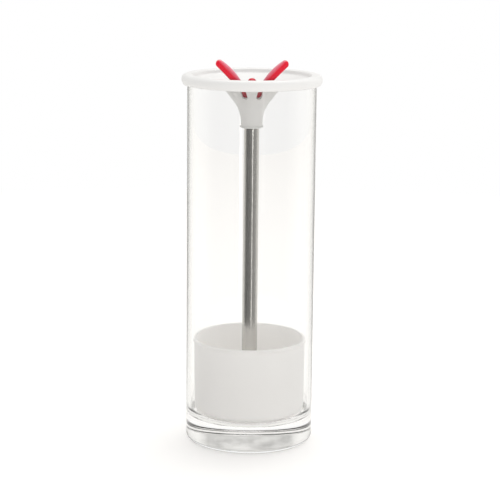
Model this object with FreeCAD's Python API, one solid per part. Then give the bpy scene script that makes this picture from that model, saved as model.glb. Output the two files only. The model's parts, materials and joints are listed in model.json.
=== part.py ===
import FreeCAD, Part
import math
import os
from FreeCAD import Vector

# Herb keeper: a clear glass jar and an insert that lifts out of it. The insert is a saucer lid with a
# funnel, a steel stem and a basket that hangs on the stem. A winged vent turns inside the funnel.
# Millimetres. Z is up, the jar stands on Z = 0 round the Z axis, and the front of the keeper faces -Y.

# Glass jar
jar_radius = 50.0
jar_wall = 3.0
jar_height = 287.0
jar_base = 20.0
jar_heel_round = 5.0
jar_floor_round = 9.0
jar_lip_round = 1.4
punt_radius = 38.0
punt_depth = 1.2

# Saucer lid, whose edge hooks over the glass
lid_overhang = 4.4
lid_edge_round = 3.8
lid_rise = 3.7
lid_wall = 2.0
skirt_drop = 4.3
skirt_taper = 1.4
skirt_widest = 2.6
skirt_gap = 0.7
spigot_gap = 0.6
spigot_wall = 1.2
spigot_drop = 3.4
seat_gap = 0.2
gasket_height = 1.2
ridge_inner_step = 0.4
ridge_lean = 1.4
dish_depth = 3.3
dish_slope = 16.5
throat_radius = 23.0
ledge_width = 3.8
ledge_height = 1.2

# Trumpet funnel, dropped into the lid's ledge
funnel_wall = 1.8
funnel_fit = 0.2
flange_gap = 0.3
flange_round = 6.0
cone_half_angle = 38.0
neck_radius = 8.5
neck_wall = 1.2
neck_drop = 37.0
neck_blend = 26.0

# Air windows through the funnel, two at the front and two at the back
window_width = 4.3
window_length = 9.0
window_below_ledge = 4.0
window_half_pitch = 17.5

# Vent shutter inside the funnel, its travel and its stops
shutter_gap = 0.35
shutter_wall = 1.3
shutter_height = 9.4
shutter_below_ledge = 9.3
port_margin = 0.5
hub_radius = 4.4
hub_height = 7.3
spoke_width = 3.0
spoke_height = 3.4
spoke_lift = 2.4
stop_width = 2.4
stop_reach = 1.9
stop_height = 3.5
stop_overlap = 2.1
stop_angle = 150.0
stop_gap = 0.3
key_side = 3.8
key_depth = 3.6
key_gap = 0.1
key_root = 0.5

# Pivot of the vent in the funnel's throat
bridge_below_ledge = 13.5
bridge_height = 3.5
boss_sunk = 0.7
bridge_ring = 1.5
bridge_spokes = 3
bridge_spoke_width = 1.8
bridge_spoke_height = 2.4
boss_radius = 4.2
boss_height = 4.5
pivot_radius = 2.05
pivot_gap = 0.05
axial_gap = 0.2
hub_gap = 0.3
washer_radius = 3.6
washer_height = 0.8
screw_radius = 1.2
screw_length = 8.5
screw_head_radius = 2.4
screw_head_height = 1.6
screw_slot = 0.7
screw_slot_reach = 1.7
screw_slot_depth = 0.8

# Winged grip: each arm leaves the post, widens and ends in a round tip
wing_tip_reach = 25.3
wing_tip_rise = 11.6
wing_tip_round = 2.8
wing_lower_angle = 44.0
wing_upper_angle = 33.0
wing_lower_root = 8.2
wing_upper_root = 4.6
wing_root_height = 1.0
wing_width = 8.8
wing_edge_round = 1.8
bud_radius = 3.8
bud_rise = 0.6

# Steel stem, its seal and its foot
stem_radius = 6.0
stem_wall = 0.6
stem_in_neck = 8.0
grommet_flange = 0.6
grommet_flange_height = 1.4
grommet_lip = 1.0
foot_wall = 1.6
foot_floor = 6.0
foot_height = 15.6
foot_sleeve = 2.8
sleeve_height = 24.4
foot_flange = 2.4
foot_flange_height = 1.0

# Basket
basket_gap = 2.3
basket_lift = 1.4
basket_height = 61.0
basket_wall = 1.8
basket_floor = 2.2
basket_corner = 8.0
basket_draft = 0.6
basket_bead = 0.7
basket_bead_height = 2.6
basket_bead_slope = 0.5
drain_radius = 3.0
drain_pitch = 16.0
drain_rings = 2
drain_first_radius = 18.0

# Small rounding of moulded edges
edge_round = 0.5

# Sizes and places that follow from the ones above
jar_bore = jar_radius - jar_wall
glass_edge = jar_height
groove_top = glass_edge + seat_gap + gasket_height
skirt_bore = jar_radius + skirt_gap
spigot_radius = jar_bore - spigot_gap
spigot_bore = spigot_radius - spigot_wall
lid_radius = jar_radius + lid_overhang
lid_top = glass_edge + lid_rise
dish_radius = spigot_radius - ridge_inner_step - ridge_lean
dish_edge = lid_top - dish_depth
slope = math.tan(math.radians(dish_slope))
ledge_radius = throat_radius + ledge_width


def dish_at(radius):
    """Height of the dish's upper face at a radius."""
    return dish_edge - (dish_radius - radius) * slope


ledge_top = dish_at(ledge_radius) - ledge_height
ledge_bottom = ledge_top - ledge_height
cone_run = math.tan(math.radians(cone_half_angle))
cone_cos = math.cos(math.radians(cone_half_angle))
funnel_mouth = throat_radius - funnel_fit
neck_bottom = glass_edge - neck_drop
neck_bore = neck_radius - neck_wall


def cone_at(height, inset=0.0):
    """Radius of the funnel's cone at a height, moved in by inset at right angles to its wall."""
    return funnel_mouth - (ledge_bottom - height) * cone_run - inset / cone_cos


def cone_height(radius, inset=0.0):
    """Height at which the funnel's cone, moved in by inset, has a radius."""
    return ledge_bottom - (funnel_mouth - inset / cone_cos - radius) / cone_run


bridge_bottom = ledge_bottom - bridge_below_ledge
bridge_top = bridge_bottom + bridge_height
boss_top = bridge_top - boss_sunk
boss_bottom = boss_top - boss_height
hub_bottom = boss_top + hub_gap
hub_top = hub_bottom + hub_height
spigot_end = boss_bottom - axial_gap
shutter_bottom = ledge_bottom - shutter_below_ledge
shutter_top = shutter_bottom + shutter_height
vent_travel = window_half_pitch

stem_bore = stem_radius - stem_wall
stem_top = neck_bottom + stem_in_neck
basket_bottom = jar_base + basket_lift
basket_rim = basket_bottom + basket_height
basket_radius = jar_bore - basket_gap
stem_bottom = basket_bottom + foot_floor
foot_bore = stem_bore - foot_wall
sleeve_radius = stem_radius + foot_sleeve
flange_radius = sleeve_radius + foot_flange
flange_seat = basket_bottom + foot_flange_height

Y = Vector(0, 1, 0)
Z = Vector(0, 0, 1)
ORIGIN = Vector(0, 0, 0)


def rounded_face(corners):
    """Face in the XZ plane through (x, z) or (x, z, rounding) corners, each rounded by a tangent arc."""
    points = [Vector(c[0], 0, c[1]) for c in corners]
    radii = [c[2] if len(c) > 2 else 0.0 for c in corners]
    count = len(points)
    ends = []
    for i, corner in enumerate(points):
        back = points[i - 1] - corner
        ahead = points[(i + 1) % count] - corner
        half = back.getAngle(ahead) / 2
        straight = abs(math.pi / 2 - half) < 1e-6
        if radii[i] == 0 or straight:
            ends.append((corner, None, corner))
            continue
        reach = radii[i] / math.tan(half)
        # Each rounding may take its share of the sides that it has in common with its neighbours
        back_room = back.Length * radii[i] / (radii[i] + radii[i - 1])
        ahead_room = ahead.Length * radii[i] / (radii[i] + radii[(i + 1) % count])
        reach = min(reach, back_room, ahead_room)
        radius = reach * math.tan(half)
        back.normalize()
        ahead.normalize()
        middle = back + ahead
        middle.normalize()
        nearest = radius / math.sin(half) - radius
        ends.append((corner + back * reach, corner + middle * nearest, corner + ahead * reach))
    edges = []
    for i, (start, via, end) in enumerate(ends):
        if via is not None:
            edges.append(Part.Arc(start, via, end).toShape())
        following = ends[(i + 1) % count][0]
        if end.distanceToPoint(following) > 1e-6:
            edges.append(Part.LineSegment(end, following).toShape())
    return Part.Face(Part.Wire(edges))


def turned(corners):
    """Solid of revolution round Z of a rounded outline of (radius, height, rounding) corners."""
    return rounded_face(corners).revolve(ORIGIN, Z, 360)


def disc(radius, bottom, top):
    """Upright cylinder on the Z axis."""
    return Part.makeCylinder(radius, top - bottom, Vector(0, 0, bottom))


def bar(width, height, start, end, bottom, angle):
    """Upright bar that runs outwards along a radius, from start to end, at an angle round Z."""
    solid = Part.makeBox(end - start, width, height, Vector(start, -width / 2, bottom))
    return solid.rotate(ORIGIN, Z, angle)


def sector(inner, outer, bottom, top, first, last):
    """Part of a ring between two angles round Z."""
    face = rounded_face([(inner, bottom), (outer, bottom), (outer, top), (inner, top)])
    return face.revolve(ORIGIN, Z, last - first).rotate(ORIGIN, Z, first)


def wall_slot(width, length, angle):
    """Cutter with round ends, set square to the funnel's wall at the windows' height."""
    height = ledge_bottom - window_below_ledge
    along = Vector(math.sin(math.radians(cone_half_angle)), 0, cone_cos)
    outward = Vector(cone_cos, 0, -math.sin(math.radians(cone_half_angle)))
    inward = 3 * funnel_wall
    centre = Vector(cone_at(height), 0, height) - outward * inward
    half = width / 2
    rise = along * (length / 2 - half)
    side = Y * half
    edges = [
        Part.LineSegment(centre + side - rise, centre + side + rise).toShape(),
        Part.Arc(centre + side + rise, centre + rise + along * half, centre - side + rise).toShape(),
        Part.LineSegment(centre - side + rise, centre - side - rise).toShape(),
        Part.Arc(centre - side - rise, centre - rise - along * half, centre + side - rise).toShape(),
    ]
    return Part.Face(Part.Wire(edges)).extrude(outward * (inward + funnel_wall)).rotate(ORIGIN, Z, angle)


def inside_of_cone(inset, bottom, top):
    """Solid cone that fills the funnel, inset from its outer face."""
    low = cone_at(bottom, inset)
    high = cone_at(top, inset)
    return Part.makeCone(low, high, top - bottom, Vector(0, 0, bottom))


def glass_jar():
    """Straight jar with a heavy floor, a round heel, a polished lip and a shallow hollow underneath."""
    body = turned([
        (0, 0),
        (jar_radius, 0, jar_heel_round),
        (jar_radius, jar_height, jar_lip_round),
        (jar_bore, jar_height, jar_lip_round),
        (jar_bore, jar_base, jar_floor_round),
        (0, jar_base),
    ])
    ball = (punt_radius ** 2 + punt_depth ** 2) / (2 * punt_depth)
    return body.cut(Part.makeSphere(ball, Vector(0, 0, punt_depth - ball)))


def lid_dish():
    """Saucer with a thick round edge, a groove for the glass and a stepped hole for the funnel."""
    foot_radius = lid_radius - skirt_taper
    skirt_bottom = glass_edge - skirt_drop
    spigot_bottom = glass_edge - spigot_drop
    under = lid_wall / math.cos(math.radians(dish_slope))
    ledge_outer = ledge_radius + lid_wall / 2
    return turned([
        (skirt_bore, skirt_bottom, edge_round),
        (foot_radius, skirt_bottom, 2 * edge_round),
        (lid_radius, skirt_bottom + skirt_widest, lid_wall),
        (lid_radius, lid_top, lid_edge_round),
        (spigot_radius - ridge_inner_step, lid_top, lid_wall),
        (dish_radius, dish_edge, lid_wall),
        (ledge_radius, dish_at(ledge_radius), edge_round / 2),
        (ledge_radius, ledge_top),
        (throat_radius, ledge_top),
        (throat_radius, ledge_bottom),
        (ledge_outer, ledge_bottom, edge_round),
        (ledge_outer + lid_wall / 2, dish_at(ledge_outer + lid_wall / 2) - under, lid_wall),
        (spigot_bore, dish_at(spigot_bore) - under, edge_round),
        (spigot_bore, spigot_bottom, edge_round),
        (spigot_radius, spigot_bottom, edge_round),
        (spigot_radius, groove_top),
        (skirt_bore, groove_top),
    ])


def lid_gasket():
    """Soft ring in the lid's groove, on which the lid sits on the glass."""
    return turned([
        (spigot_radius, glass_edge + seat_gap, edge_round / 2),
        (skirt_bore, glass_edge + seat_gap, edge_round / 2),
        (skirt_bore, groove_top),
        (spigot_radius, groove_top),
    ])


def funnel():
    """Trumpet with a flange on the lid's ledge, a cone with air windows, stops and a straight neck."""
    flange_radius = ledge_radius - flange_gap
    flange_top = dish_at(flange_radius)
    # Where the flange's sloping top meets the inside of the cone
    mouth_inside = cone_at(ledge_bottom, funnel_wall)
    corner_radius = (
        flange_top - flange_radius * slope - ledge_bottom + mouth_inside / cone_run
    ) / (1 / cone_run - slope)
    corner_height = flange_top - (flange_radius - corner_radius) * slope
    body = turned([
        (neck_bore, neck_bottom),
        (neck_radius, neck_bottom, edge_round),
        (neck_radius, cone_height(neck_radius), neck_blend),
        (funnel_mouth, ledge_bottom),
        (funnel_mouth, ledge_top),
        (flange_radius, ledge_top),
        (flange_radius, flange_top, edge_round / 2),
        (corner_radius, corner_height, flange_round),
        (neck_bore, cone_height(neck_bore, funnel_wall), neck_blend + funnel_wall),
    ])
    for side in (-90, 90):
        for turn in (-window_half_pitch, window_half_pitch):
            body = body.cut(wall_slot(window_width, window_length, side + turn))
    stop_bottom = shutter_bottom + stop_overlap - stop_height
    outside = inside_of_cone(funnel_wall / 2, stop_bottom, stop_bottom + stop_height)
    inside = inside_of_cone(funnel_wall + stop_reach, stop_bottom, stop_bottom + stop_height)
    shell = outside.cut(inside)
    for angle in (stop_angle, stop_angle + 180):
        rib = bar(stop_width, stop_height, 0, throat_radius, stop_bottom, angle)
        body = body.fuse(rib.common(shell))
    return body.removeSplitter()


def throat_bridge():
    """Ring wedged in the throat of the funnel, whose spokes carry the vent's bearing boss."""
    cone = inside_of_cone(funnel_wall, bridge_bottom, bridge_top)
    hollow = inside_of_cone(funnel_wall + bridge_ring, bridge_bottom, bridge_top)
    body = cone.cut(hollow)
    for i in range(bridge_spokes):
        angle = 90 + i * 360 / bridge_spokes
        spoke = bar(bridge_spoke_width, bridge_spoke_height, 0, throat_radius, bridge_bottom, angle)
        body = body.fuse(spoke.common(cone))
    body = body.fuse(disc(boss_radius, boss_bottom, boss_top))
    body = body.cut(disc(pivot_radius + pivot_gap, boss_bottom - 1, boss_top + 1))
    # The ring's outside takes the shape of the funnel where the cone turns into the neck
    return body.cut(funnel()).removeSplitter()


def vent_shutter():
    """Conical shutter with ports and stop notches, spoked to a hub that turns in the bridge."""
    inset = funnel_wall + shutter_gap
    cone = inside_of_cone(inset, shutter_bottom, shutter_top)
    body = cone.cut(inside_of_cone(inset + shutter_wall, shutter_bottom, shutter_top))
    for side in (-90, 90):
        for turn in (-2 * window_half_pitch, 0):
            port = wall_slot(window_width + port_margin, window_length + port_margin, side + turn)
            body = body.cut(port)
    stop_top = shutter_bottom + stop_overlap
    radius = cone_at(shutter_bottom, inset + shutter_wall)
    half = math.degrees((stop_width / 2 + stop_gap) / radius)
    for angle in (stop_angle, stop_angle + 180):
        notch = sector(
            radius / 2, 2 * radius, shutter_bottom - 1, stop_top + stop_gap,
            angle - half - vent_travel, angle + half
        )
        body = body.cut(notch)
    body = body.fuse(disc(hub_radius, hub_bottom, hub_top))
    body = body.fuse(disc(pivot_radius, spigot_end, hub_bottom))
    for angle in (0, 180):
        spoke = bar(spoke_width, spoke_height, 0, throat_radius, shutter_bottom + spoke_lift, angle)
        body = body.fuse(spoke.common(cone))
    body = body.cut(disc(screw_radius, spigot_end, spigot_end + screw_length))
    socket = key_side + 2 * key_gap
    corner = Vector(-socket / 2, -socket / 2, hub_top - key_depth - key_gap)
    body = body.cut(Part.makeBox(socket, socket, key_depth + 1, corner))
    return body.removeSplitter()


def tangent_arc(start, angle, end):
    """Arc in the XZ plane that leaves start at an angle above +X, in degrees, and reaches end."""
    turn = math.radians(angle)
    normal = Vector(-math.sin(turn), 0, math.cos(turn))
    chord = end - start
    radius = chord.dot(chord) / (2 * normal.dot(chord))
    centre = start + normal * radius
    middle = (start + end) * 0.5 - centre
    middle.normalize()
    return Part.Arc(start, centre + middle * abs(radius), end).toShape()


def wing_arm():
    """One arm of the grip along +X: a bar bent outwards with rounded edges and a round tip."""
    tip = Vector(wing_tip_reach, 0, glass_edge + wing_tip_rise)
    low_turn = math.radians(wing_lower_angle - 90)
    high_turn = math.radians(wing_upper_angle + 90)
    far_turn = (low_turn + high_turn) / 2
    low_end = tip + Vector(math.cos(low_turn), 0, math.sin(low_turn)) * wing_tip_round
    high_end = tip + Vector(math.cos(high_turn), 0, math.sin(high_turn)) * wing_tip_round
    far_end = tip + Vector(math.cos(far_turn), 0, math.sin(far_turn)) * wing_tip_round
    lower_root = Vector(wing_lower_root, 0, hub_top)
    upper_root = Vector(wing_upper_root, 0, hub_top + wing_root_height)
    edges = [
        tangent_arc(low_end, wing_lower_angle + 180, lower_root),
        Part.LineSegment(lower_root, Vector(0, 0, hub_top)).toShape(),
        Part.LineSegment(Vector(0, 0, hub_top), Vector(0, 0, upper_root.z)).toShape(),
        Part.LineSegment(Vector(0, 0, upper_root.z), upper_root).toShape(),
        tangent_arc(high_end, wing_upper_angle + 180, upper_root),
        Part.Arc(high_end, far_end, low_end).toShape(),
    ]
    outline = Part.Face(Part.Wire(Part.__sortEdges__(edges)))
    arm = outline.extrude(Y * wing_width)
    arm.translate(Y * (-wing_width / 2))
    curved = [e for e in arm.Edges if e.BoundBox.YLength < 0.01 and e.BoundBox.XMax > wing_lower_root + 1]
    return arm.makeFillet(wing_edge_round, curved)


def vent_wing():
    """Grip of two arms in a V with a round bud between them, keyed into the shutter's hub."""
    arm = wing_arm()
    other = arm.copy().rotate(ORIGIN, Z, 180)
    bud_centre = glass_edge + bud_rise - bud_radius
    body = disc(bud_radius, hub_top, bud_centre)
    body = body.fuse(Part.makeSphere(bud_radius, Vector(0, 0, bud_centre)))
    body = body.fuse(arm).fuse(other)
    corner = Vector(-key_side / 2, -key_side / 2, hub_top - key_depth)
    body = body.fuse(Part.makeBox(key_side, key_side, key_depth + key_root, corner))
    return body.removeSplitter()


def pivot_washer():
    """Washer that holds the hub's spigot in the bridge."""
    ring = disc(washer_radius, spigot_end - washer_height, spigot_end)
    return ring.cut(disc(screw_radius, spigot_end - washer_height - 1, spigot_end + 1))


def pivot_screw():
    """Pan-head screw driven up into the hub, with a crossed recess in its head."""
    top = spigot_end - washer_height
    bottom = top - screw_head_height
    head = turned([
        (0, bottom),
        (screw_head_radius, bottom, screw_head_height / 2),
        (screw_head_radius, top),
        (0, top),
    ])
    screw = head.fuse(disc(screw_radius, top, spigot_end + screw_length))
    for angle in (0, 90):
        slot = bar(screw_slot, screw_slot_depth + 1, -screw_slot_reach, screw_slot_reach, bottom - 1, angle)
        screw = screw.cut(slot)
    return screw


def stem_tube():
    """Straight steel tube that carries the basket and takes water down to the floor of the jar."""
    tube = disc(stem_radius, stem_bottom, stem_top)
    return tube.cut(disc(stem_bore, stem_bottom - 1, stem_top + 1))


def stem_grommet():
    """Soft sleeve between the funnel's neck and the stem, with a small flange that shows below the neck."""
    flange_bottom = neck_bottom - grommet_flange_height
    top = stem_top + grommet_lip
    return turned([
        (stem_radius, flange_bottom),
        (neck_radius + grommet_flange, flange_bottom, edge_round),
        (neck_radius + grommet_flange, neck_bottom, edge_round),
        (neck_bore, neck_bottom),
        (neck_bore, top, edge_round / 2),
        (stem_bore, top, edge_round / 2),
        (stem_bore, stem_top),
        (stem_radius, stem_top),
    ])


def stem_foot():
    """Foot of the stem: a sleeve and an inner plug hold the tube, and a flange carries the basket's floor."""
    sleeve_top = basket_bottom + sleeve_height
    plug_top = basket_bottom + foot_height
    return turned([
        (foot_bore, basket_bottom, edge_round / 2),
        (flange_radius, basket_bottom, edge_round / 2),
        (flange_radius, flange_seat),
        (sleeve_radius, flange_seat),
        (sleeve_radius, sleeve_top, 2 * edge_round),
        (stem_radius, sleeve_top, edge_round / 2),
        (stem_radius, stem_bottom),
        (stem_bore, stem_bottom),
        (stem_bore, plug_top, edge_round),
        (foot_bore, plug_top, edge_round / 2),
    ])


def herb_basket():
    """Cup with a beaded rim, a hole for the stem's foot and rings of drain holes."""
    foot_radius = basket_radius - basket_bead - basket_draft
    top_radius = basket_radius - basket_bead
    bead_bottom = basket_rim - basket_bead_height
    floor_top = basket_bottom + basket_floor
    inner_corner = basket_corner - basket_wall
    body = turned([
        (flange_radius, basket_bottom),
        (foot_radius, basket_bottom, basket_corner),
        (top_radius, bead_bottom),
        (basket_radius, bead_bottom + basket_bead_slope, edge_round),
        (basket_radius, basket_rim, 2 * edge_round),
        (top_radius - basket_wall, basket_rim, 2 * edge_round),
        (foot_radius - basket_wall, floor_top, inner_corner),
        (sleeve_radius, floor_top),
        (sleeve_radius, flange_seat),
        (flange_radius, flange_seat),
    ])
    last_radius = foot_radius - basket_corner - drain_radius
    ring_step = (last_radius - drain_first_radius) / (drain_rings - 1)
    for ring in range(drain_rings):
        radius = drain_first_radius + ring * ring_step
        count = int(2 * math.pi * radius / drain_pitch)
        for i in range(count):
            angle = 2 * math.pi * (i + 0.5 * (ring % 2)) / count
            centre = Vector(radius * math.cos(angle), radius * math.sin(angle), basket_bottom - 1)
            body = body.cut(Part.makeCylinder(drain_radius, basket_floor + 2, centre))
    return body


pieces = {
    "glass_jar": glass_jar(),
    "lid_dish": lid_dish(),
    "lid_gasket": lid_gasket(),
    "funnel": funnel(),
    "throat_bridge": throat_bridge(),
    "stem_grommet": stem_grommet(),
    "stem_tube": stem_tube(),
    "stem_foot": stem_foot(),
    "herb_basket": herb_basket(),
    "vent_shutter": vent_shutter(),
    "vent_wing": vent_wing(),
    "pivot_washer": pivot_washer(),
    "pivot_screw": pivot_screw(),
}

os.makedirs("parts", exist_ok=True)
for name, shape in pieces.items():
    solids = shape.Solids
    if len(solids) != 1 or not shape.isValid():
        raise ValueError(f"{name} is {len(solids)} solids, valid {shape.isValid()}")
    solids[0].exportStep(f"parts/{name}.step")
    box = shape.BoundBox
    print(f"{name}: volume {shape.Volume:.0f}, height {box.ZMin:.2f} to {box.ZMax:.2f}, width {box.XLength:.2f}")
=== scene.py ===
import json
import math

import bpy
from mathutils import Matrix, Vector


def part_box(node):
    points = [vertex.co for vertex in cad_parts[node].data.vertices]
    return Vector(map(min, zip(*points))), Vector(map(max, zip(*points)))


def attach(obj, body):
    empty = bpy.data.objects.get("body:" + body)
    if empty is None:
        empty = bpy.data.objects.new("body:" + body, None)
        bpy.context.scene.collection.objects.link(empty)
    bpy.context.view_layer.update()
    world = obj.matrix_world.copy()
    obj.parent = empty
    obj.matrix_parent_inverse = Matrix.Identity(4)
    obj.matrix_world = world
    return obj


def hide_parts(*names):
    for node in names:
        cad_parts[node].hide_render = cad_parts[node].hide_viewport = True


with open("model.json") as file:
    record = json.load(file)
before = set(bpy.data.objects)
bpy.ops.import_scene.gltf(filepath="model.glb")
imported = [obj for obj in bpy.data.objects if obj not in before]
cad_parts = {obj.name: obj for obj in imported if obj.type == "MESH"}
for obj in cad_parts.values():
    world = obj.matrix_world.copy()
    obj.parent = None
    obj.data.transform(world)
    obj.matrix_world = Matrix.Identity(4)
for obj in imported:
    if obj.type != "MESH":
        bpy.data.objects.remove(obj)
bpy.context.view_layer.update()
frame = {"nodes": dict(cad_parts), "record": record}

mm = 0.001

# Jar
jar_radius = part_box("glass_jar")[1].x
jar_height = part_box("glass_jar")[1].z
jar_wall = 3 * mm
jar_base = 20 * mm
jar_heel_round = 5 * mm
jar_floor_round = 9 * mm
jar_lip_round = 1.4 * mm
hollow_radius = 38 * mm
hollow_depth = 1.2 * mm

# Fineness of turned pieces, and how near to the axis a point counts as lying on it
turn_segments = 256
corner_steps = 16
hollow_steps = 24
axis_reach = 1e-7

# Range that soft noise mostly keeps to
noise_span = (0.3, 0.7)

# Painted light: an even glow that lifts the thin basket's white, though the basket is no lamp
basket_painted_glow = 0.12

# Painted shade: heights between which the vent's red goes from a shaded deep red down in the funnel to bright
red_shade_heights = (285 * mm, 289 * mm)
# How far bounced light takes the red for a dull grey
red_muted = 0.85
# Painted highlight, a pale band along the arms' inner edges: a point on its line, the line's lean and its
# width
highlight_reach = 12.6 * mm
highlight_height = 287 * mm
highlight_lean = 1.0
highlight_width = 3.4 * mm
# Painted highlight: distances from the middle between which it sets in, so that the bud is clear of it
bud_clear = (5 * mm, 8 * mm)

# Camera, fitted to the outlines of the glass, the lid and the foot
camera_place = (-0.3 * mm, -1371 * mm, 432 * mm)
camera_pitch = 11.53
camera_roll = 0.57
camera_lens = 128.16
camera_sensor = 36.0
camera_clip = 20

# Floor and room as soft light sees them
floor_reach = 1.2
floor_corners = 96
floor_glow = 0.25
room_left = 0.8
room_right = 1.0

# Room as a gloss sees it: how bright its front is, and what it is high up behind at its darkest and lightest
gloss_front_left = 0.08
gloss_front_right = 0.38
gloss_above_low = 0.5
gloss_above_high = 0.85
gloss_tint = (1.0, 0.99, 0.96, 1)
# How far bounces in the glass itself see the front as white
gloss_in_glass = 0.9
# Parts of a direction between which front becomes back, low becomes high and middle becomes side
front_to_back = (-0.3, 0.45)
low_to_high = (-0.05, 0.2)
middle_to_side = (0.45, 0.65)
patch_scale = 5.0
# Bright strip for what is behind the glass: a ray meets four faces of the glass on its way in and out
strip_side = 0.36
strip_half_width = 0.05
strip_glow = 4.5
faces_behind = 4


class Shade:
    """A value that varies over a surface. Sums on it add Math nodes to its finish."""

    def __init__(self, finish, socket):
        self.finish = finish
        self.socket = socket

    def __add__(self, other):
        return self.finish.maths("ADD", self, other)

    def __radd__(self, other):
        return self.finish.maths("ADD", other, self)

    def __sub__(self, other):
        return self.finish.maths("SUBTRACT", self, other)

    def __rsub__(self, other):
        return self.finish.maths("SUBTRACT", other, self)

    def __mul__(self, other):
        return self.finish.maths("MULTIPLY", self, other)

    def __rmul__(self, other):
        return self.finish.maths("MULTIPLY", other, self)

    def __abs__(self):
        return self.finish.maths("ABSOLUTE", self)


class Finish:
    """A node tree under construction: the finish of a piece, the floor or the room."""

    # Places of the colour sockets of a Mix node, which has others of the same names
    first_colour = 6
    second_colour = 7
    mixed_colour = 2

    def __init__(self, owner):
        owner.use_nodes = True
        self.owner = owner
        self.tree = owner.node_tree
        self.tree.nodes.clear()

    def node(self, kind, settings=None, values=None, output=0):
        """Adds a node of a kind. Its settings come first, then a value or a link for each named socket."""
        made = self.tree.nodes.new(kind)
        for name, setting in (settings or {}).items():
            setattr(made, name, setting)
        for name, value in (values or {}).items():
            socket = made.inputs[name]
            if isinstance(value, Shade):
                self.tree.links.new(value.socket, socket)
            else:
                socket.default_value = value
        return Shade(self, made.outputs[output]) if len(made.outputs) else None

    def maths(self, operation, first, second=0.0):
        return self.node("ShaderNodeMath", {"operation": operation}, {0: first, 1: second})

    def between(self, share, low, high):
        """Colour that goes from low to high as share goes from 0 to 1."""
        values = {"Factor": share, self.first_colour: low, self.second_colour: high}
        return self.node("ShaderNodeMix", {"data_type": "RGBA"}, values, output=self.mixed_colour)

    def blended(self, share, first, second):
        """Surface that goes from first to second as share goes from 0 to 1."""
        return self.node("ShaderNodeMixShader", values={0: share, 1: first, 2: second})

    def stretch(self, value, span, to=(0.0, 1.0)):
        """Value moved from one range to another, and held there."""
        return self.node(
            "ShaderNodeMapRange",
            {"clamp": True},
            {"Value": value, "From Min": span[0], "From Max": span[1], "To Min": to[0], "To Max": to[1]},
        )

    def along(self, point, axes="XYZ"):
        """The parts of a point or a direction along the named axes."""
        return [self.node("ShaderNodeSeparateXYZ", values={"Vector": point}, output=axis) for axis in axes]

    def place(self, scale=(1.0, 1.0, 1.0)):
        """The point on the piece in metres, stretched by scale."""
        point = self.node("ShaderNodeTexCoord", output="Object")
        return self.node("ShaderNodeMapping", values={"Vector": point, "Scale": scale})

    def grain(self, size, detail, stretched=(1.0, 1.0, 1.0)):
        """Soft noise of about that grain size, in metres."""
        values = {"Vector": self.place(stretched), "Scale": 1 / size, "Detail": detail}
        return self.node("ShaderNodeTexNoise", values=values)

    def relief(self, height, depth, strength):
        """Normal of a surface whose height, from 0 to 1, is worth depth metres."""
        return self.node("ShaderNodeBump", values={"Height": height, "Distance": depth, "Strength": strength})

    def ray(self, fact):
        """A fact about the ray that meets the surface, such as whether it casts a shadow."""
        return self.node("ShaderNodeLightPath", output=fact)

    def once(self, depth):
        """1 once a ray has made any bounce of that kind, else 0."""
        return self.maths("MINIMUM", self.ray(depth), 1.0)

    def principled(self, **values):
        """Principled surface with its named sockets set."""
        labels = {name.replace("_", " "): value for name, value in values.items()}
        return self.node("ShaderNodeBsdfPrincipled", values=labels)

    def show(self, surface):
        """Sends the surface to the output."""
        in_room = isinstance(self.owner, bpy.types.World)
        kind = "ShaderNodeOutputWorld" if in_room else "ShaderNodeOutputMaterial"
        self.node(kind, values={"Surface": surface})
        return self.owner


def clear_glass():
    """Clear polished glass, hardly tinted, with faint waves and smears. It casts hardly any shadow."""
    finish = Finish(bpy.data.materials.new("clear_glass"))
    waves = finish.grain(60 * mm, detail=1.0, stretched=(1.0, 1.0, 0.35))
    smears = finish.grain(18 * mm, detail=3.0)
    glass = finish.principled(
        Base_Color=(0.995, 0.993, 0.988, 1),
        Roughness=finish.stretch(smears, (0.35, 0.75), to=(0.0, 0.02)),
        IOR=1.5,
        Transmission_Weight=1.0,
        Normal=finish.relief(waves, depth=0.15 * mm, strength=0.3),
    )
    clear = finish.node("ShaderNodeBsdfTransparent", values={"Color": (0.99, 0.99, 0.985, 1)})
    return finish.show(finish.blended(finish.ray("Is Shadow Ray"), glass, clear))


def white_plastic():
    """Satin white moulding with a fine even grain."""
    finish = Finish(bpy.data.materials.new("white_plastic"))
    cloud = finish.grain(22 * mm, detail=3.0)
    skin = finish.grain(0.35 * mm, detail=2.0)
    return finish.show(finish.principled(
        Base_Color=finish.between(cloud, (0.8, 0.792, 0.775, 1), (0.825, 0.818, 0.805, 1)),
        Roughness=finish.stretch(skin, noise_span, to=(0.3, 0.4)),
        IOR=1.5,
        Normal=finish.relief(skin, depth=0.012 * mm, strength=0.6),
    ))


def basket_plastic():
    """Fine matt moulding, a little lighter than the lid, with a faint painted glow."""
    finish = Finish(bpy.data.materials.new("basket_plastic"))
    cloud = finish.grain(25 * mm, detail=3.0)
    skin = finish.grain(0.5 * mm, detail=3.0)
    return finish.show(finish.principled(
        Base_Color=finish.between(cloud, (0.885, 0.872, 0.855, 1), (0.91, 0.897, 0.88, 1)),
        Roughness=finish.stretch(skin, noise_span, to=(0.5, 0.62)),
        IOR=1.5,
        # Painted light: an even glow lifts the basket's white
        Emission_Color=(1.0, 0.98, 0.95, 1),
        Emission_Strength=basket_painted_glow,
        Normal=finish.relief(skin, depth=0.02 * mm, strength=0.6),
    ))


def clear_silicone():
    """Soft milky rubber."""
    finish = Finish(bpy.data.materials.new("clear_silicone"))
    cloud = finish.grain(4 * mm, detail=3.0)
    return finish.show(finish.principled(
        Base_Color=finish.between(cloud, (0.72, 0.72, 0.70, 1), (0.8, 0.8, 0.78, 1)),
        Roughness=finish.stretch(cloud, noise_span, to=(0.42, 0.55)),
        IOR=1.41,
    ))


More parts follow.
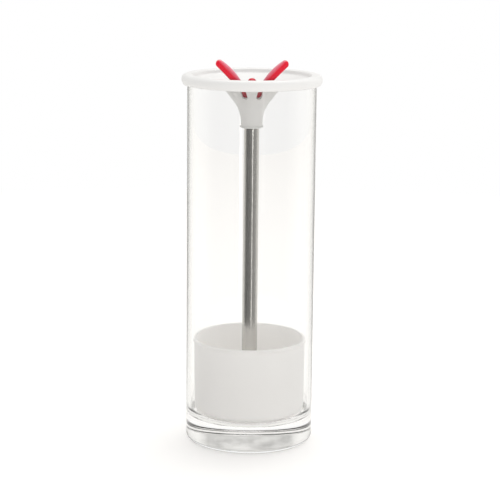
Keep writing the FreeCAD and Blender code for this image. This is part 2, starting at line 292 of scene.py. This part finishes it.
def red_plastic():
    """Satin crimson moulding, with painted shade deeper down in the funnel and a painted highlight along the
    arms' inner edges.
    """
    finish = Finish(bpy.data.materials.new("red_plastic"))
    # Painted shade: a darker red for the vent down in the funnel
    shaded_red = (0.42, 0.003, 0.02, 1)
    # Painted highlight: a pale pink for the band along the arms' inner edges
    highlight_pink = (0.78, 0.24, 0.31, 1)
    bounced = (0.3, 0.25, 0.25, 1)
    cloud = finish.grain(9 * mm, detail=3.0)
    skin = finish.grain(0.3 * mm, detail=2.0)
    across, height = finish.along(finish.place(), "XZ")
    reach = abs(across)
    bright = finish.between(cloud, (0.76, 0.004, 0.024, 1), (0.82, 0.007, 0.034, 1))
    # Painted shade: the red darkens below the given heights
    body = finish.between(finish.stretch(height, red_shade_heights), shaded_red, bright)
    # Painted highlight: a pale band along the arms' inner edges, kept off the bud
    inward = reach - (height - highlight_height) * highlight_lean
    painted_highlight = finish.stretch(inward, (highlight_reach - highlight_width, highlight_reach), to=(1.0, 0.0))
    painted_highlight = painted_highlight * finish.stretch(reach, bud_clear) * finish.stretch(cloud, (0.2, 0.8), to=(0.7, 1.0))
    # Little of the red spills onto the white dish
    spill = finish.ray("Is Diffuse Ray") * red_muted
    return finish.show(finish.principled(
        Base_Color=finish.between(spill, finish.between(painted_highlight, body, highlight_pink), bounced),
        Roughness=finish.stretch(skin, noise_span, to=(0.22, 0.32)),
        IOR=1.5,
        Specular_IOR_Level=0.38,
        Normal=finish.relief(skin, depth=0.01 * mm, strength=0.6),
    ))


def steel():
    """Drawn and polished stainless steel with fine lines along the draw."""
    finish = Finish(bpy.data.materials.new("steel"))
    lines = finish.grain(0.25 * mm, detail=3.0, stretched=(1.0, 1.0, 0.012))
    return finish.show(finish.principled(
        Base_Color=(0.62, 0.61, 0.59, 1),
        Metallic=1.0,
        Roughness=finish.stretch(lines, noise_span, to=(0.16, 0.28)),
        Normal=finish.relief(lines, depth=0.004 * mm, strength=0.5),
    ))


finishes = {
    "clear_glass": clear_glass(),
    "white_plastic": white_plastic(),
    "basket_plastic": basket_plastic(),
    "clear_silicone": clear_silicone(),
    "red_plastic": red_plastic(),
    "steel": steel(),
}
for row in frame["record"]["subparts"]:
    frame["nodes"][row["node"]].material_slots[0].material = finishes[row["material_slot"]]


def put(name, data):
    """Object with that mesh, lamp or lens, added to the scene."""
    thing = bpy.data.objects.new(name, data)
    bpy.context.scene.collection.objects.link(thing)
    return thing


def rounded(corners):
    """Closed outline through its corners, with tangent arcs at the roundings.

    A corner is (radius, height) or (radius, height, rounding).
    """
    outline = []
    count = len(corners)
    for index, corner in enumerate(corners):
        point = Vector(corner[:2])
        rounding = corner[2] if len(corner) > 2 else 0
        if not rounding:
            outline.append(point)
            continue
        back = (Vector(corners[index - 1][:2]) - point).normalized()
        ahead = (Vector(corners[(index + 1) % count][:2]) - point).normalized()
        half = back.angle(ahead) / 2
        run = rounding / math.tan(half)
        centre = point + (back + ahead).normalized() * rounding / math.sin(half)
        first = point + back * run - centre
        last = point + ahead * run - centre
        sweep = first.angle_signed(last)
        for step in range(corner_steps + 1):
            outline.append(centre + Matrix.Rotation(-sweep * step / corner_steps, 2) @ first)
    return outline


def turned(name, outline, body, slot, *nodes):
    """Piece turned round Z from a closed outline of (radius, height) points, which replaces the nodes."""
    points = []
    rings = []
    for radius, height in outline:
        if radius < axis_reach:
            rings.append([len(points)] * turn_segments)
            points.append((0, 0, height))
            continue
        rings.append(range(len(points), len(points) + turn_segments))
        for step in range(turn_segments):
            angle = 2 * math.pi * step / turn_segments
            points.append((radius * math.cos(angle), radius * math.sin(angle), height))
    faces = []
    for ring, above in zip(rings, rings[1:] + rings[:1]):
        for step in range(turn_segments):
            beside = (step + 1) % turn_segments
            corners = list(dict.fromkeys([ring[step], ring[beside], above[beside], above[step]]))
            if len(corners) > 2:
                faces.append(corners)
    mesh = bpy.data.meshes.new(name)
    mesh.from_pydata(points, [], faces)
    mesh.validate()
    mesh.shade_smooth()
    piece = put(name, mesh)
    mesh.materials.append(finishes[slot])
    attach(piece, body)
    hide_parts(*nodes)


def hollow():
    """Points of the shallow round hollow under the jar, from its middle out to its rim on the ground."""
    ball = (hollow_radius ** 2 + hollow_depth ** 2) / (2 * hollow_depth)
    points = []
    for step in range(hollow_steps + 1):
        reach = hollow_radius * step / hollow_steps
        points.append((reach, hollow_depth - ball + math.sqrt(ball ** 2 - reach ** 2)))
    return points


def glass_jar():
    """Straight jar with a heavy floor, a round heel, a polished lip and a shallow hollow underneath."""
    bore = jar_radius - jar_wall
    walls = rounded([
        (0, 0),
        (jar_radius, 0, jar_heel_round),
        (jar_radius, jar_height, jar_lip_round),
        (bore, jar_height, jar_lip_round),
        (bore, jar_base, jar_floor_round),
        (0, jar_base),
    ])
    # The hollow takes the place of the first corner
    turned("jar_glass", hollow() + walls[1:], "jar", "clear_glass", "glass_jar")


def around(angle, reach, height):
    """Point at an angle from the front, positive to the right, at a reach from the axis."""
    return (reach * math.sin(math.radians(angle)), -reach * math.cos(math.radians(angle)), height)


def leaning(side, left, right):
    """Level that goes from left to right as side goes from -1 to 1."""
    return left + (side + 1) * ((right - left) / 2)


def kinds_of_sight(finish):
    """Two masks: straight, where the camera sees the room itself, and shiny, where it sees it in a gloss.

    Straight also holds through glass.
    """
    soft = finish.once("Diffuse Depth")
    gloss = finish.once("Glossy Depth")
    through = finish.ray("Is Transmission Ray") * (1 - soft) * (1 - gloss)
    straight = finish.maths("MAXIMUM", finish.ray("Is Camera Ray"), through)
    return straight, gloss * (1 - soft)


def room_in_gloss(finish, way):
    """How bright a gloss sees the room that way: a white back with soft patches high up, and a dimmer front.

    Bounces in the glass itself see less contrast, and only what is behind the glass sees the bright strip.
    """
    side, depth, height = finish.along(way)
    behind = finish.maths("GREATER_THAN", finish.ray("Transmission Depth"), faces_behind - 0.5)
    inside = finish.once("Transmission Depth") * (1 - behind)
    front = leaning(side, gloss_front_left, gloss_front_right)
    front = front + (1 - front) * inside * gloss_in_glass
    strip = finish.stretch(abs(side - strip_side), (0.0, strip_half_width), to=(strip_glow, 0.0))
    front = front + strip * behind
    back = finish.stretch(depth, front_to_back)
    high = finish.stretch(height, low_to_high)
    middle = finish.stretch(abs(side), middle_to_side, to=(1.0, 0.0))
    patches = finish.node("ShaderNodeTexNoise", values={"Vector": way, "Scale": patch_scale, "Detail": 3.0})
    shade = finish.stretch(patches, noise_span, to=(1 - gloss_above_low, 1 - gloss_above_high))
    return (back + (1 - back) * front) * (1 - high * middle * shade)


def room():
    """Even room light, a little stronger from the right. The camera sees the room as plain white."""
    world = bpy.data.worlds.new("room")
    bpy.context.scene.world = world
    finish = Finish(world)
    way = finish.node("ShaderNodeTexCoord", output="Generated")
    side = finish.along(way, "X")[0]
    even = leaning(side, room_left, room_right)
    straight, shiny = kinds_of_sight(finish)
    strength = straight + (1 - straight) * (shiny * room_in_gloss(finish, way) + (1 - shiny) * even)
    tint = finish.between(shiny, (1, 1, 1, 1), gloss_tint)
    finish.show(finish.node("ShaderNodeBackground", values={"Color": tint, "Strength": strength}))


def floor():
    """Plain pale floor, white where the object's shadow doesn't fall. A gloss sees the room in its place."""
    mesh = bpy.data.meshes.new("floor")
    rim = [around(360 * step / floor_corners, floor_reach, 0) for step in range(floor_corners)]
    mesh.from_pydata(rim, [], [range(len(rim))])
    ground = put("floor", mesh)
    finish = Finish(bpy.data.materials.new("floor"))
    shiny = kinds_of_sight(finish)[1]
    way = finish.node("ShaderNodeVectorMath", {"operation": "NORMALIZE"}, {0: finish.place()})
    paper = finish.node("ShaderNodeBsdfDiffuse", values={"Color": (0.8, 0.785, 0.765, 1)})
    light = finish.node("ShaderNodeEmission", values={"Color": (1, 1, 1, 1), "Strength": floor_glow})
    lit = finish.node("ShaderNodeAddShader", values={0: paper, 1: light})
    brightness = room_in_gloss(finish, way)
    far = finish.node("ShaderNodeEmission", values={"Color": gloss_tint, "Strength": brightness})
    finish.show(finish.blended(shiny, lit, far))
    mesh.materials.append(finish.owner)


def softbox(name, place, width, height, glow):
    """Rectangular soft light at a place, turned to the jar's middle. Its face glows with that strength."""
    lamp = bpy.data.lights.new(name, "AREA")
    lamp.shape = "RECTANGLE"
    lamp.size = width
    lamp.size_y = height
    lamp.energy = glow * math.pi * width * height
    box = put(name, lamp)
    box.location = place
    aim = Vector((0, 0, jar_height / 2)) - Vector(place)
    box.rotation_euler = aim.to_track_quat("-Z", "Y").to_euler()
    box.visible_camera = False
    return box


def lights():
    """A narrow softbox right of the camera, one overhead and a soft fill from the right."""
    softbox("front_strip", around(21, 1.2, 0.3), width=0.12, height=1.0, glow=0.6)
    softbox("overhead", (0.1, 0.4, 1.15), width=0.7, height=0.7, glow=2.4)
    fill = softbox("fill", around(20, 1.4, 0.3), width=0.9, height=0.6, glow=1.1)
    fill.visible_glossy = False
    fill.visible_transmission = False


def camera():
    """Camera at the photograph's place."""
    lens = bpy.data.cameras.new("camera")
    lens.lens = camera_lens
    lens.sensor_width = camera_sensor
    lens.clip_end = camera_clip
    eye = put("camera", lens)
    tilt = Matrix.Rotation(math.radians(90 - camera_pitch), 4, "X")
    roll = Matrix.Rotation(math.radians(camera_roll), 4, "Z")
    eye.matrix_world = Matrix.Translation(camera_place) @ tilt @ roll
    bpy.context.scene.camera = eye


glass_jar()
room()
floor()
lights()
camera()
bpy.context.scene.view_settings.view_transform = "Standard"
